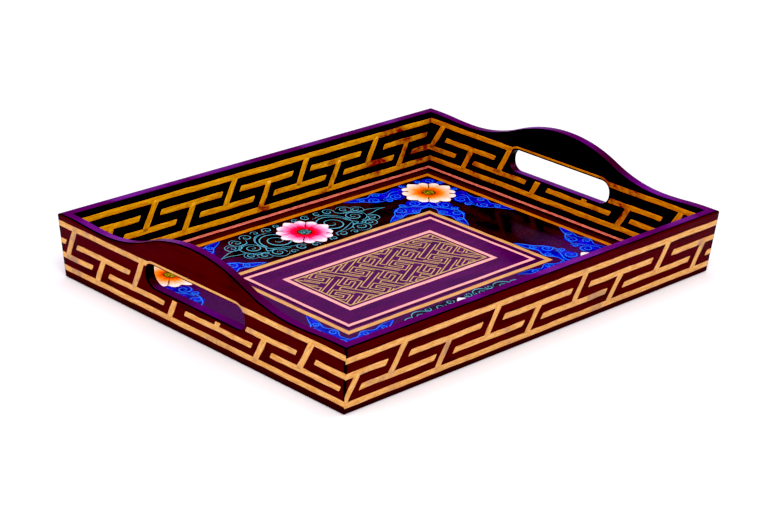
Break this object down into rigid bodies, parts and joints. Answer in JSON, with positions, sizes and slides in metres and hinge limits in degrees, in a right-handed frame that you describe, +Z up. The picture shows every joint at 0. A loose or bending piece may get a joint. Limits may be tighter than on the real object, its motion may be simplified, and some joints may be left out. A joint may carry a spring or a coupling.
{
  "type": "painted wooden serving tray",
  "caption": "Rectangular lacquered wooden serving tray with flared mitred sides, raised handle ends with hand slots, and painted fret, flower and cloud decoration.",
  "frame": {"origin": "middle of the tray's underside, on the surface it stands on", "axes": "+X along the long sides, +Y across the tray towards the back long side, +Z up out of the tray"},
  "size_m": [0.4534, 0.3528, 0.0815],
  "materials": {
    "lacquered_board": "painted oxblood outside, black inside and purple on the rim, under clear gloss lacquer",
    "lacquered_panel": "painted maroon and purple under clear gloss lacquer",
    "steel_pins": "bright drawn wire",
    "gold_paint": "hand-brushed gold paint under clear lacquer",
    "flower_paint": "shaded petal colours under clear lacquer",
    "cloud_paint": "blue and teal scrolls under clear lacquer",
    "pink_paint": "pink and salmon lines under clear lacquer"
  },
  "bodies": {
    "root": {"front_long_side": "lacquered_board", "back_long_side": "lacquered_board", "left_handle_end": "lacquered_board", "right_handle_end": "lacquered_board", "base_panel": "lacquered_panel", "front_panel_pins": "steel_pins", "back_panel_pins": "steel_pins", "left_panel_pins": "steel_pins", "right_panel_pins": "steel_pins", "front_left_brads": "steel_pins", "front_right_brads": "steel_pins", "back_left_brads": "steel_pins", "back_right_brads": "steel_pins"}
  },
  "joints": []
}
